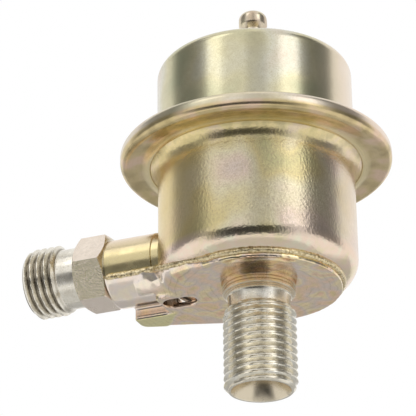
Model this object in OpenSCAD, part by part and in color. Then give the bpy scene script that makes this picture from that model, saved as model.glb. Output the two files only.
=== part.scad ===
// Diaphragm fuel pressure regulator for a fuel rail.
// A spring cap and a fuel cup, both deep drawn, are crimped together round a diaphragm.
// Fuel enters at the side union, lifts the sprung valve and leaves through the stud below.
// Z runs up the stud's axis, and z = 0 is the saddle plate's lower face, which meets a bracket.
// The side union points along -X.

/* [Fuel cup] */
// Outside radius of the fuel cup
cup_r = 19.2; // [17.5:0.1:20.5]
// Height of the fuel cup, from its bottom to the top of its flange
cup_h = 26.4; // [24.5:0.1:32]
// Sheet thickness of the fuel cup
cup_t = 1.0; // [0.7:0.05:1.3]
// Outside radius of the rounded bottom edge
cup_corner_r = 4.6; // [3.6:0.1:5]
// Radius of the cove between the wall and the flange
cup_cove_r = 4.0; // [3:0.1:4.2]

/* [Spring cap] */
// Outside radius of the spring cap
cap_r = 19.3; // [17.5:0.1:20.5]
// Height of the spring cap above the diaphragm
cap_h = 19.2; // [16:0.1:30]
// Sheet thickness of the spring cap and of its rolled rim
cap_t = 1.0; // [0.7:0.05:1.3]
// Outside radius of the rounded top edge
cap_corner_r = 2.4; // [1.6:0.1:5]
// Radius of the cove between the wall and the flange
cap_cove_r = 1.5; // [0.6:0.1:2.5]

/* [Crimped rim] */
// Outside radius of the rolled rim
rim_r = 26.6; // [25.5:0.1:30]
// Outside radius of the rim's two rounded edges
rim_round_r = 1.4; // [1.1:0.05:1.7]
// Radius at which the rolled lip ends under the flange
lip_r = 21.4; // [20.8:0.1:23]
// How far the lip springs back below flat at its free edge
lip_sag = 0.55; // [0:0.05:0.9]
// Free space between the flange's edge and the rolled rim
crimp_gap = 0.2; // [0.05:0.05:0.5]

/* [Diaphragm] */
// Thickness of the rubberised cloth
dia_t = 0.7; // [0.5:0.05:1]
// Depth of the centre below the clamped edge
dia_drop = 2.0; // [1.5:0.1:3]
// Radius of the rolled fold, at the middle of the cloth
dia_roll_r = 2.0; // [1.4:0.1:2.2]
// Free space between the diaphragm's fold and the cap's wall
dia_wall_gap = 0.3; // [0.1:0.1:0.6]

/* [Valve] */
// Radius of the holder's flange under the diaphragm
holder_r = 11.0; // [8:0.1:12]
// Thickness of the holder's flange
holder_t = 1.5; // [1:0.1:2.5]
// Radius of the boss that carries the ball
boss_r = 5.2; // [4.6:0.1:6.5]
// Height of the boss below the flange
boss_h = 3.2; // [2.5:0.1:4]
// Radius of the riveted stem
stem_r = 3.0; // [2.6:0.1:4]
// Radius of the rivet head
rivet_r = 4.4; // [4.2:0.1:6]
// Height of the rivet head
rivet_h = 0.9; // [0.5:0.1:1.5]
// Radius of the ball
ball_r = 2.5; // [2.2:0.05:2.8]
// Height of the ball's centre above its ground flat
ball_flat = 1.8; // [1.4:0.05:2]
// Radius of the valve plate
vplate_r = 4.4; // [4:0.1:4.5]
// Thickness of the valve plate
vplate_t = 1.4; // [0.8:0.1:2]
// Free space above the valve plate, in which it tilts
tilt_gap = 0.4; // [0.2:0.05:0.8]
// Sheet thickness of the retainer
retainer_t = 0.5; // [0.3:0.05:0.8]
// Radius of the hole in the retainer
retainer_hole_r = 3.9; // [3.75:0.05:3.95]

/* [Spring plate] */
// Sheet thickness of the spring plate
splate_t = 0.8; // [0.5:0.1:1.2]
// Height of the rim that centres the spring
splate_rim_h = 2.6; // [1.5:0.1:4]

/* [Springs] */
// Outside diameter of the pressure spring
spring_od = 21.6; // [18:0.1:22]
// Wire diameter of the pressure spring
spring_wire = 2.4; // [1.8:0.1:2.6]
// Turns of the pressure spring, with its two closed end turns
spring_turns = 6; // [5:0.5:6.5]
// Outside diameter of the ball spring
ball_spring_od = 2.4; // [2:0.1:2.6]
// Wire diameter of the ball spring
ball_spring_wire = 0.35; // [0.25:0.05:0.45]
// Turns of the ball spring
ball_spring_turns = 4; // [3:0.5:4.5]
// Depth of the ball spring's pocket above the ball
ball_spring_h = 1.8; // [1.6:0.1:2.2]

/* [Seat tube] */
// Outside radius of the pressed end of the seat tube
seat_tube_r = 4.5; // [4:0.1:4.8]
// Outside radius of the nose that carries the seat
seat_nose_r = 3.3; // [3:0.05:3.4]
// Length of the nose
seat_nose_h = 4.0; // [3:0.1:6]
// Width of the seat's flat land
seat_land = 0.4; // [0.2:0.05:0.6]
// Radius of the seat tube's bore
seat_bore_r = 2.3; // [1.8:0.1:2.6]
// Depth of the pressed end below the fuel cup's bottom
seat_press_h = 2.0; // [1.9:0.1:4]

/* [Vacuum nipple] */
// Outside radius of the nipple's tube
nipple_r = 2.0; // [1.8:0.05:2.3]
// Radius of the nipple's bore
nipple_bore_r = 1.1; // [0.8:0.05:1.2]
// Length of the nipple above the cap
nipple_h = 13.2; // [10:0.1:22]
// Radius of the bulb that grips the hose
bulb_r = 2.85; // [2.6:0.05:3.3]
// Length of the straight band round the bulb
bulb_land_h = 1.4; // [1:0.1:3]
// Radius of the bulb's rounded tip
bulb_tip_r = 1.5; // [1:0.05:1.6]
// Length of the cone under the bulb
bulb_cone_h = 1.0; // [0.6:0.1:2]
// Radius of the nipple's flange inside the cap
nipple_flange_r = 3.6; // [3:0.1:5]
// Thickness of the nipple's flange
nipple_flange_t = 0.8; // [0.5:0.1:1.5]

/* [Saddle plate] */
// Distance by which the plate's disc is smaller in radius than the cup
plate_inset = 3.2; // [2.8:0.1:3.6]
// Thickness of the plate under the cup's flat bottom
plate_t = 1.2; // [1:0.05:1.5]
// Thickness of the plate beside the cup
web_t = 2.7; // [2.3:0.1:3]
// Distance from the stud's axis at which the plate thickens
web_x0 = 17.6; // [17:0.1:18.2]
// Distance from the stud's axis to the end of the flat web
web_x = 20.0; // [19.5:0.1:23]
// Half of the web's width at its end
web_half_w = 7.4; // [6.5:0.1:9]
// Radius of the web's rounded corners
web_corner_r = 2.0; // [1:0.1:3]
// Free space between the cradle's end and the hexagon
cradle_gap = 0.3; // [0.1:0.1:3]
// Wall thickness of the cradle
cradle_t = 1.5; // [1:0.1:2]
// Angle below level at which the cradle's walls end
cradle_angle = 32; // [20:1:45]
// Distance from the stud's axis to the outer end of the lug
lug_x = 27.4; // [25:0.1:29]
// Distance from the union's axis to the lug's inner side
lug_y0 = 3.7; // [3:0.1:4.5]
// Distance from the union's axis to the lug's outer corner
lug_y1 = 8.2; // [7.5:0.1:9.5]
// Height of the lug
lug_h = 5.0; // [4.4:0.1:6]
// Radius of the lug's rounded corner
lug_corner_r = 1.6; // [1:0.1:2]
// Height by which the lug's pad stands below the plate
pad_h = 0.25; // [0.1:0.05:0.5]
// Distance from the stud's axis to the pad's end at its inner side
pad_x0 = 18.7; // [17:0.1:20]
// Distance from the stud's axis to the pad's end at its outer side
pad_x1 = 23.0; // [21:0.1:24.5]
// Radius of the shallow dish in the plate's lower face
dish_r = 14.5; // [12:0.1:15.5]
// Depth of the dish at the stud
dish_depth = 0.7; // [0.3:0.05:0.9]
// Nearest end of the slot, from the stud's axis
slot_x0 = 12.8; // [12.7:0.1:13.4]
// Farthest end of the slot, from the stud's axis
slot_x1 = 19.4; // [17.5:0.1:19.4]
// Width of the slot
slot_w = 4.2; // [3:0.1:4.6]
// Distance of the slot's middle line in front of the arm's
slot_y = 0.4; // [0:0.1:1]

/* [Inlet union] */
// Height of the union's axis above the plate's lower face
union_z = 9.15; // [8.9:0.05:10]
// Radius of the plain shank
shank_r = 6.1; // [5.6:0.1:6.4]
// Distance from the stud's axis to the hexagon
hex_x0 = 30.0; // [30:0.1:34]
// Length of the hexagon
hex_len = 6.4; // [4:0.1:9]
// Width of the hexagon across its flats
hex_af = 13.2; // [12.4:0.1:15]
// Depth of the turned bevel on the hexagon's corners
hex_bevel = 0.6; // [0.3:0.05:0.8]
// Radius of the neck between hexagon and thread
union_neck_r = 6.0; // [5.2:0.1:6.2]
// Length of the neck between hexagon and thread
union_neck_len = 3.7; // [2:0.1:6]
// Length of the union's thread
union_thread_len = 7.3; // [5:0.1:12]
// Radius of the spigot in the cup's wall
union_spigot_r = 5.2; // [4.6:0.1:5.4]
// Distance from the stud's axis to the spigot's inner end
union_spigot_x = 16.4; // [15.6:0.1:16.6]
// Distance from the stud's axis to the ring groove
groove_x = 19.7; // [19.4:0.1:22]
// Width of the ring groove
groove_w = 0.4; // [0.2:0.05:0.8]
// Depth of the ring groove
groove_depth = 0.25; // [0.1:0.05:0.4]

/* [Outlet stud] */
// Radius of the locating collar under the plate
collar_r = 7.0; // [6.6:0.05:7.4]
// Height of the locating collar
collar_h = 1.0; // [0.8:0.1:2]
// Height of the cone under the collar
flare_h = 1.3; // [1:0.1:1.6]
// Radius of the relief between collar and thread
relief_r = 6.0; // [5.6:0.1:6.2]
// Length of the relief with its cone
relief_len = 3.0; // [2.6:0.1:7]
// Length of the stud's thread
stud_thread_len = 16.4; // [10:0.1:22]
// Radius of the spigot through the plate and the cup's bottom
stud_spigot_r = 6.0; // [5.6:0.1:6.6]
// Radius of the spigot's peened edge inside the cup
peened_r = 6.9; // [6.7:0.1:8]
// Height of the peened edge
peened_h = 0.9; // [0.5:0.1:1.5]

/* [Threads and bores] */
// Outside radius of both threads
thread_r = 7.0; // [6.5:0.05:7.5]
// Height of the bevel at the thread's ends
thread_bevel = 0.9; // [0.4:0.05:1.4]
// Radius of the bore through union and stud
bore_r = 3.0; // [2.4:0.05:3.4]
// Radius of the cone's mouth that seats the pipe
cone_r = 5.7; // [5:0.05:5.8]
// Half of the cone's angle, in degrees
cone_half_angle = 30; // [25:1:45]

/* [Fits] */
// Free space filled by braze between joined pieces
braze_gap = 0.05; // [0.03:0.01:0.08]
// Free space between the spring and the plate's rim
spring_gap = 0.3; // [0.2:0.05:0.5]
// Free space round the ball in its pocket
ball_gap = 0.05; // [0.03:0.01:0.08]
// Radius of the braze beads
bead_r = 0.9; // [0.7:0.05:1]

/* [Hidden] */

// Colours of the finishes
plated = [0.78, 0.74, 0.55];
plated_silver = [0.76, 0.75, 0.68];
brass_braze = [0.72, 0.55, 0.25];
bare_steel = [0.62, 0.62, 0.64];
rubber = [0.12, 0.12, 0.13];

// Smoothness of turned forms and of the springs' wire
$fn = 96;
wire_sides = 10;
wire_steps = 22;
// Pitch of a closed coil and depth ground off its end, each as a share of the wire's thickness
closed_pitch = 1.04;
ground_depth = 0.7;

// Length past a face by which a cut runs clear
clear_cut = 1;

// Heights of the crimped stack
cup_z0 = plate_t;
cup_flange_z1 = cup_z0 + cup_h;
cup_flange_z0 = cup_flange_z1 - cup_t;
dia_z0 = cup_flange_z1;
dia_z1 = dia_z0 + dia_t;
rim_z0 = cup_flange_z0 - cap_t;
rim_z1 = dia_z1 + cap_t;
cap_z1 = dia_z1 + cap_h;
cap_in_z = cap_z1 - cap_t;
clamped_r = rim_r - cap_t - crimp_gap;
cup_in_r = cup_r - cup_t;
cap_in_r = cap_r - cap_t;
dia_fold_r = cap_in_r - dia_wall_gap - dia_roll_r - dia_t / 2;

// Heights of the valve, from the diaphragm's centre down to the seat
dia_mid_z0 = dia_z0 - dia_drop;
dia_mid_z1 = dia_mid_z0 + dia_t;
holder_z0 = dia_mid_z0 - holder_t;
boss_z0 = holder_z0 - boss_h;
vplate_z1 = boss_z0 - tilt_gap;
seat_z = vplate_z1 - vplate_t;
ball_z = vplate_z1 + ball_flat;
ball_top_z = ball_z + ball_r;
splate_z1 = dia_mid_z1 + splate_t;
splate_in_r = spring_od / 2 + spring_gap;

// The seat of the ball spring on the ball, at the inner edge of its coil
ball_spring_in_r = ball_spring_od / 2 - ball_spring_wire;
ball_spring_z0 = ball_z + sqrt(pow(ball_r, 2) - pow(ball_spring_in_r, 2));
ball_pocket_r = ball_r + ball_gap;
ball_spring_pocket_r = ball_spring_od / 2 + ball_gap;
ball_spring_z1 = ball_top_z + ball_spring_h;

// Radius of the plate's disc and length of its cradle, from the stud's axis
plate_r = cup_r - plate_inset;
cradle_len = hex_x0 - cradle_gap;

// Ends of the union along its axis, from the stud's axis
hex_x1 = hex_x0 + hex_len;
union_thread_x0 = hex_x1 + union_neck_len;
union_x1 = union_thread_x0 + union_thread_len;
hex_corner_r = hex_af / 2 / cos(30);

// Heights of the stud, down from the plate
stud_relief_z0 = -collar_h - relief_len;
stud_z0 = stud_relief_z0 - stud_thread_len;
stud_z1 = cup_z0 + cup_t + peened_h;
cone_depth = (cone_r - bore_r) / tan(cone_half_angle);
seat_z0 = cup_z0 + cup_t - seat_press_h;

// A rectangle in the half plane of radius and height
module ring2d(r0, r1, z0, z1) {
    translate([r0, z0]) square([r1 - r0, z1 - z0]);
}

// A round in the half plane of radius and height
module round2d(r, z, radius) {
    translate([r, z]) circle(r = radius);
}

// Section of a drawn pot: a straight wall and a rounded bottom edge
module pot2d(r, z0, z1, corner) {
    ring2d(0, r, z0 + corner, z1);
    ring2d(0, r - corner, z0, z0 + corner);
    round2d(r - corner, z0 + corner, corner);
}

// Section of the cove that leads a wall of radius r out into a flange above it
module cove2d(r, flange_z, radius) {
    difference() {
        ring2d(r, r + radius, flange_z - radius, flange_z);
        round2d(r + radius, flange_z - radius, radius);
    }
}

// Section of the fuel cup, filled, grown outwards by a gap
module cup_outside2d(gap) {
    pot2d(cup_r + gap, cup_z0, cup_flange_z0, cup_corner_r + gap);
}

// A solid turned about the union's axis from a section of radius against distance
module along_union() {
    translate([0, 0, union_z]) rotate([0, -90, 0]) children();
}

// A helical wire whose end coils lie closed and are ground flat, between two heights
function wire_point(turn, radius, z) = [radius * cos(360 * turn), radius * sin(360 * turn), z];
function wire_height(turn, turns, wire, z0, z1) =
    let (closed = wire * closed_pitch, low = z0 + wire / 2, high = z1 - wire / 2)
    turn < 1 ? low + closed * turn :
    turn > turns - 1 ? high - closed * (turns - turn) :
    low + closed + (high - low - 2 * closed) * (turn - 1) / (turns - 2);

module helical_spring(od, wire, turns, z0, z1) {
    mean_r = (od - wire) / 2;
    ground = wire * ground_depth;
    rings = round(turns * wire_steps);
    points = [for (i = [0:rings]) for (s = [0:wire_sides - 1])
        let (turn = i * turns / rings,
            out = mean_r + wire / 2 * cos(360 * s / wire_sides),
            up = wire / 2 * sin(360 * s / wire_sides))
        wire_point(turn, out, wire_height(turn, turns, wire, z0 - ground, z1 + ground) + up)];
    sides = [for (i = [0:rings - 1]) for (s = [0:wire_sides - 1])
        let (a = i * wire_sides + s, b = i * wire_sides + (s + 1) % wire_sides)
        [a, b, b + wire_sides, a + wire_sides]];
    start = [for (s = [wire_sides - 1:-1:0]) s];
    end = [for (s = [0:wire_sides - 1]) rings * wire_sides + s];
    intersection() {
        polyhedron(points, concat(sides, [start, end]), convexity = 10);
        translate([0, 0, z0]) cylinder(r = od, h = z1 - z0);
    }
}

// Spring cap with its flange, its rolled rim and the lip under the fuel cup's flange
module upper_housing() {
    color(plated) rotate_extrude() difference() {
        union() {
            translate([0, cap_z1]) mirror([0, 1]) pot2d(cap_r, 0, cap_h, cap_corner_r);
            translate([0, 2 * rim_z1]) mirror([0, 1]) cove2d(cap_r, rim_z1, cap_cove_r);
            ring2d(0, rim_r - rim_round_r, dia_z1, rim_z1);
            ring2d(clamped_r - rim_round_r, rim_r - rim_round_r, rim_z0, rim_z1);
            ring2d(clamped_r - rim_round_r, rim_r, rim_z0 + rim_round_r, rim_z1 - rim_round_r);
            round2d(rim_r - rim_round_r, rim_z0 + rim_round_r, rim_round_r);
            round2d(rim_r - rim_round_r, rim_z1 - rim_round_r, rim_round_r);
            polygon([[lip_r, rim_z0 - lip_sag], [rim_r - rim_round_r, rim_z0],
                [rim_r - rim_round_r, rim_z0 + cap_t], [lip_r, rim_z0 + cap_t - lip_sag]]);
        }
        translate([0, cap_in_z]) mirror([0, 1])
            pot2d(cap_in_r, 0, cap_in_z - dia_z1 + clear_cut, cap_corner_r - cap_t);
        translate([0, 2 * dia_z1]) mirror([0, 1]) cove2d(cap_in_r, dia_z1, cap_cove_r + cap_t);
        ring2d(0, rim_r - cap_t, cup_flange_z0, dia_z1);
        ring2d(0, nipple_r + braze_gap, cap_in_z - clear_cut, cap_z1 + clear_cut);
    }
}

// Hose nipple with its bulb, flanged inside the cap
module vacuum_nipple() {
    tip_z = cap_z1 + nipple_h;
    land_z1 = tip_z - bulb_tip_r;
    land_z0 = land_z1 - bulb_land_h;
    color(plated) rotate_extrude() difference() {
        union() {
            ring2d(0, nipple_flange_r, cap_in_z - nipple_flange_t, cap_in_z);
            ring2d(0, nipple_r, cap_in_z - nipple_flange_t, tip_z);
            polygon([[0, land_z0 - bulb_cone_h], [nipple_r, land_z0 - bulb_cone_h],
                [bulb_r, land_z0], [bulb_r, land_z1], [0, land_z1]]);
            ring2d(0, bulb_r - bulb_tip_r, land_z1, tip_z);
            intersection() {
                round2d(bulb_r - bulb_tip_r, land_z1, bulb_tip_r);
                ring2d(0, bulb_r, land_z1, tip_z);
            }
        }
        ring2d(0, nipple_bore_r, cap_in_z - nipple_flange_t - clear_cut, tip_z + clear_cut);
    }
}

// Fuel cup with its flange, the hole for the stud and the hole for the union
module lower_housing() {
    color(plated) difference() {
        rotate_extrude() difference() {
            union() {
                cup_outside2d(0);
                cove2d(cup_r, cup_flange_z0, cup_cove_r);
                ring2d(0, clamped_r, cup_flange_z0, cup_flange_z1);
            }
            pot2d(cup_in_r, cup_z0 + cup_t, cup_flange_z1 + clear_cut, cup_corner_r - cup_t);
            cove2d(cup_in_r, cup_flange_z1, cup_cove_r + cup_t);
            ring2d(0, stud_spigot_r + braze_gap, cup_z0 - clear_cut, cup_z0 + cup_t + clear_cut);
        }
        along_union() cylinder(r = union_spigot_r + braze_gap, h = cup_r + clear_cut);
    }
}

// Direction of the edge that touches both the disc and a corner round on its far side
function edge_angle(corner, radius) =
    atan2(corner[1], corner[0]) - acos((plate_r - radius) / norm(corner));
function polar(r, angle) = [r * cos(angle), r * sin(angle)];

// Outline that runs from the disc, touching it, to a rounded corner beside the arm
module wing2d(x, y, radius, inner_y) {
    corner = [radius - x, y - radius];
    angle = edge_angle(corner, radius);
    polygon([[0, inner_y], [-x, inner_y], [-x, corner[1]], corner, corner + polar(radius, angle),
        polar(plate_r, angle)]);
    translate(corner) circle(r = radius);
}

// Section of the cradle round the union's shank, with its walls up to a slope below level
module cradle2d(gap) {
    outer_r = shank_r + cradle_t;
    translate([0, union_z]) difference() {
        circle(r = outer_r);
        circle(r = shank_r + gap);
        translate([-outer_r, -outer_r * sin(cradle_angle)]) square([2 * outer_r, 2 * outer_r]);
    }
}

// Solid along the union's axis between two distances from the stud's axis
module beside_union(x0, x1) {
    translate([-x0, 0, 0]) rotate([90, 0, -90]) linear_extrude(x1 - x0) children();
}

// Slot through the plate under the cup's rounded edge
module plate_slot() {
    end_r = slot_w / 2;
    translate([0, -slot_y, -clear_cut]) linear_extrude(web_t + 2 * clear_cut) {
        translate([end_r - slot_x1, -end_r]) square([slot_x1 - slot_x0 - slot_w, slot_w]);
        for (x = [end_r - slot_x1, -end_r - slot_x0]) translate([x, 0]) circle(r = end_r);
    }
}

// Outline of the lug's pad, cut off aslant at its inner end
module pad2d() {
    intersection() {
        wing2d(lug_x, lug_y1, lug_corner_r, lug_y0);
        polygon([[-lug_x, lug_y0], [-pad_x0, lug_y0], [-pad_x1, lug_y1 + lug_corner_r],
            [-lug_x, lug_y1 + lug_corner_r]]);
    }
}

// Outline of the plate beside the arm, where it is thicker
module web2d() {
    intersection() {
        for (side = [0, 1]) mirror([0, side, 0]) wing2d(web_x, web_half_w, web_corner_r, 0);
        translate([-web_x, -web_half_w - web_corner_r]) square([web_x - web_x0, 2 * (web_half_w + web_corner_r)]);
    }
}

// Base plate: a disc under the cup, a cradle that holds the union's shank and a lug at its far side
module saddle_plate() {
    color(plated) difference() {
        union() {
            cylinder(r = plate_r, h = plate_t);
            for (side = [0, 1]) mirror([0, side, 0])
                linear_extrude(plate_t) wing2d(web_x, web_half_w, web_corner_r, 0);
            linear_extrude(web_t) web2d();
            linear_extrude(plate_t) wing2d(lug_x, lug_y1, lug_corner_r, lug_y0);
            translate([0, 0, -pad_h]) linear_extrude(pad_h) pad2d();
            linear_extrude(lug_h) intersection() {
                wing2d(lug_x, lug_y1, lug_corner_r, lug_y0);
                translate([-lug_x, 0]) square([lug_x - cup_r - braze_gap, 2 * lug_y1]);
            }
            beside_union(slot_x1 - clear_cut, cradle_len) cradle2d(braze_gap);
        }
        cylinder(r1 = dish_r, r2 = collar_r + braze_gap, h = dish_depth);
        cylinder(r = collar_r + braze_gap, h = dish_depth);
        translate([0, 0, -clear_cut]) cylinder(r = stud_spigot_r + braze_gap, h = plate_t + 2 * clear_cut);
        along_union() cylinder(r = shank_r + braze_gap, h = cradle_len + clear_cut);
        rotate_extrude() cup_outside2d(braze_gap);
        plate_slot();
    }
}

// Section of a bead on the edge of the plate at a radius
module edge_bead2d(r) {
    difference() {
        round2d(r, plate_t, bead_r);
        ring2d(0, r, 0, web_t);
    }
}

// Braze bead along the bare edge of the disc and on along the web in front of the arm
module base_braze() {
    corner = [web_corner_r - web_x, web_half_w - web_corner_r];
    near = edge_angle(corner, web_corner_r);
    far = edge_angle([lug_corner_r - lug_x, lug_y1 - lug_corner_r], lug_corner_r);
    run = sqrt(pow(norm(corner), 2) - pow(plate_r - web_corner_r, 2));
    color(brass_braze) difference() {
        union() {
            rotate([0, 0, -near]) rotate_extrude(angle = near + far) edge_bead2d(plate_r);
            rotate([0, 0, -near]) rotate([90, 0, 0]) linear_extrude(run) edge_bead2d(plate_r);
        }
        rotate_extrude() cup_outside2d(0);
    }
}

// Braze beads along both edges of the cradle
module union_braze() {
    edge_r = shank_r + cradle_t / 2;
    bead_z = union_z - (shank_r + cradle_t) * sin(cradle_angle);
    bead_y = sqrt(pow(edge_r, 2) - pow(union_z - bead_z, 2));
    color(brass_braze) beside_union(cup_r + bead_r, cradle_len) for (side = [-1, 1]) difference() {
        translate([side * bead_y, bead_z]) circle(r = bead_r);
        translate([0, union_z]) circle(r = shank_r + braze_gap);
        translate([-cup_r, bead_z - 2 * bead_r]) square([2 * cup_r, 2 * bead_r]);
    }
}

// Section of a bore that opens into a cone at the end where the pipe seats
module pipe_bore2d(z0, z1) {
    ring2d(0, bore_r, z0 - clear_cut, z1 + clear_cut);
    polygon([[0, z1 - cone_depth], [bore_r, z1 - cone_depth], [cone_r, z1], [cone_r, z1 + clear_cut],
        [0, z1 + clear_cut]]);
}

// Side union with its shank, hexagon and thread
module inlet_union() {
    bevel_reach = hex_bevel / tan(30);
    color(plated_silver) along_union() difference() {
        union() {
            difference() {
                rotate_extrude() difference() {
                    polygon([[0, 0], [shank_r, 0], [shank_r, hex_x0], [union_neck_r, hex_x1],
                        [union_neck_r, union_thread_x0], [thread_r, union_thread_x0 + thread_bevel],
                        [thread_r, union_x1 - thread_bevel], [thread_r - thread_bevel, union_x1],
                        [0, union_x1]]);
                    ring2d(shank_r - groove_depth, shank_r + clear_cut, groove_x, groove_x + groove_w);
                }
                rotate([0, 90, 0]) translate([0, 0, -union_z])
                    cylinder(r = cup_r + braze_gap, h = 2 * union_z + clear_cut);
            }
            translate([0, 0, union_spigot_x]) cylinder(r = union_spigot_r, h = hex_x0 - union_spigot_x);
            intersection() {
                translate([0, 0, hex_x0]) cylinder(r = hex_corner_r, h = hex_len, $fn = 6);
                rotate_extrude() polygon([[0, hex_x0], [hex_corner_r - bevel_reach, hex_x0],
                    [hex_corner_r, hex_x0 + hex_bevel], [hex_corner_r, hex_x1 - hex_bevel],
                    [hex_corner_r - bevel_reach, hex_x1], [0, hex_x1]]);
            }
        }
        rotate_extrude() pipe_bore2d(union_spigot_x, union_x1);
    }
}

// Threaded outlet stud with its collar, relief and pipe cone
module outlet_stud() {
    color(plated_silver) rotate_extrude() difference() {
        polygon([[0, stud_z0], [thread_r - thread_bevel, stud_z0], [thread_r, stud_z0 + thread_bevel],
            [thread_r, stud_relief_z0 - thread_bevel], [relief_r, stud_relief_z0],
            [relief_r, -collar_h - flare_h], [collar_r, -collar_h], [collar_r, dish_depth],
            [stud_spigot_r, dish_depth], [stud_spigot_r, stud_z1 - peened_h], [peened_r, stud_z1 - peened_h],
            [stud_spigot_r, stud_z1], [0, stud_z1]]);
        mirror([0, 1]) pipe_bore2d(-stud_z1, -stud_z0);
        ring2d(0, seat_tube_r, seat_z0, stud_z1 + clear_cut);
    }
}

// Tube pressed into the stud, with the valve seat on its nose
module seat_tube() {
    color(bare_steel) rotate_extrude() difference() {
        polygon([[0, seat_z0], [seat_tube_r, seat_z0], [seat_tube_r, seat_z - seat_nose_h],
            [seat_nose_r, seat_z - seat_nose_h + seat_tube_r - seat_nose_r],
            [seat_nose_r, seat_z - seat_land], [seat_bore_r + seat_land, seat_z], [0, seat_z]]);
        ring2d(0, seat_bore_r, seat_z0 - clear_cut, seat_z + clear_cut);
    }
}

// Rubberised cloth: clamped edge, rolled fold and flat centre
module diaphragm() {
    fold_z = (dia_z0 + dia_z1) / 2;
    leg_r = dia_fold_r - dia_roll_r;
    color(rubber) rotate_extrude() {
        ring2d(dia_fold_r + dia_roll_r - dia_t / 2, clamped_r, dia_z0, dia_z1);
        difference() {
            round2d(dia_fold_r, fold_z, dia_roll_r + dia_t / 2);
            round2d(dia_fold_r, fold_z, dia_roll_r - dia_t / 2);
            ring2d(0, rim_r, dia_mid_z0 - dia_roll_r, fold_z);
        }
        ring2d(leg_r - dia_t / 2, leg_r + dia_t / 2, dia_mid_z0, fold_z);
        ring2d(stem_r + braze_gap, leg_r + dia_t / 2, dia_mid_z0, dia_mid_z1);
    }
}

// Pressed plate on the diaphragm that centres the pressure spring
module spring_plate() {
    rim_z = splate_z1 + splate_rim_h;
    corner = splate_t + spring_gap;
    color(bare_steel) rotate_extrude() difference() {
        pot2d(splate_in_r + splate_t, dia_mid_z1, rim_z, corner);
        pot2d(splate_in_r, splate_z1, rim_z + clear_cut, corner - splate_t);
        ring2d(0, stem_r + braze_gap, dia_mid_z1 - clear_cut, splate_z1 + clear_cut);
    }
}

// Turned holder: flange under the diaphragm, boss for the ball and riveted stem
module valve_holder() {
    head_z0 = splate_z1;
    head_z1 = splate_z1 + rivet_h;
    color(bare_steel) rotate_extrude() difference() {
        union() {
            ring2d(0, holder_r, holder_z0, dia_mid_z0);
            ring2d(0, boss_r, boss_z0, holder_z0);
            ring2d(0, stem_r, dia_mid_z0, head_z1);
            polygon([[0, head_z0], [rivet_r, head_z0], [stem_r, head_z1], [0, head_z1]]);
        }
        ring2d(0, ball_pocket_r, boss_z0 - clear_cut, ball_top_z + ball_gap);
        ring2d(0, ball_spring_pocket_r, ball_top_z, ball_spring_z1);
    }
}

// Ball with a flat ground on its lower side
module valve_ball() {
    color(bare_steel) intersection() {
        translate([0, 0, ball_z]) sphere(r = ball_r);
        translate([0, 0, vplate_z1]) cylinder(r = 2 * ball_r, h = 2 * ball_r);
    }
}

// Flat plate that closes the seat
module valve_plate() {
    color(bare_steel) translate([0, 0, seat_z]) cylinder(r = vplate_r, h = vplate_t);
}

// Thin cup pressed over the boss that keeps the valve plate on its ball
module valve_retainer() {
    lip_z1 = seat_z - tilt_gap / 2;
    color(bare_steel) rotate_extrude() difference() {
        ring2d(0, boss_r + retainer_t, lip_z1 - retainer_t, holder_z0);
        ring2d(0, boss_r, lip_z1, holder_z0 + clear_cut);
        ring2d(0, retainer_hole_r, lip_z1 - retainer_t - clear_cut, lip_z1 + clear_cut);
    }
}

// Small spring that presses the ball onto the valve plate
module ball_spring() {
    color(bare_steel)
        helical_spring(ball_spring_od, ball_spring_wire, ball_spring_turns, ball_spring_z0, ball_spring_z1);
}

// Spring that sets the fuel pressure
module pressure_spring() {
    color(bare_steel) helical_spring(spring_od, spring_wire, spring_turns, splate_z1, cap_in_z);
}

upper_housing();
vacuum_nipple();
lower_housing();
saddle_plate();
base_braze();
union_braze();
inlet_union();
outlet_stud();
seat_tube();
diaphragm();
spring_plate();
valve_holder();
valve_ball();
valve_plate();
valve_retainer();
ball_spring();
pressure_spring();
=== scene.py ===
"""Fuel pressure regulator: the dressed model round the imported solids, with the photograph's camera and light.

Lengths are in millimetres until a mesh is made, and the frame is the solids' own:
Z along the outlet stud's axis, zero at the saddle plate's lower face, the inlet union along -X.
"""

from math import asin, ceil, cos, hypot, pi, radians, sin, sqrt, tan

import bmesh
import bpy
from mathutils import Matrix, Vector, noise


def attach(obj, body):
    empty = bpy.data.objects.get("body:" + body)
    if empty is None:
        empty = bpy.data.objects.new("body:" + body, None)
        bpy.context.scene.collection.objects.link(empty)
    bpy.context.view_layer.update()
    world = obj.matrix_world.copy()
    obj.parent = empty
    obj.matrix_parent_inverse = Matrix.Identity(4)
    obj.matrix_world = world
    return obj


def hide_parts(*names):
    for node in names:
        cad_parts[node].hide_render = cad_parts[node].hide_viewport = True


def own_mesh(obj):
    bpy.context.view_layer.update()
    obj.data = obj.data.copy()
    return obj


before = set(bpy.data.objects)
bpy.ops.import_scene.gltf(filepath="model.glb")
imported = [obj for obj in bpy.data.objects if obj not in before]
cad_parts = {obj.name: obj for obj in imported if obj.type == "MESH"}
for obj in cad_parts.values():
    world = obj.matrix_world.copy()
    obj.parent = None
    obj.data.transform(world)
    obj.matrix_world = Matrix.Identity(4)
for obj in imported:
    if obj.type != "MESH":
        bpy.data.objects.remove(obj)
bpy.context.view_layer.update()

MM = 0.001

# Camera, as found from the photograph's outline: degrees, pixels and millimetres
IMAGE_PX = 416
SENSOR_MM = 36.0
CAMERA_AZIMUTH = 21.6
CAMERA_RISE = 25.4
CAMERA_ROLL = 0.691
FOCAL_PX = 2182.0
CAMERA_DISTANCE = 421.6
AIM_HEIGHT = 14.0
AIM_PX = (257.5, 224.0)

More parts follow.
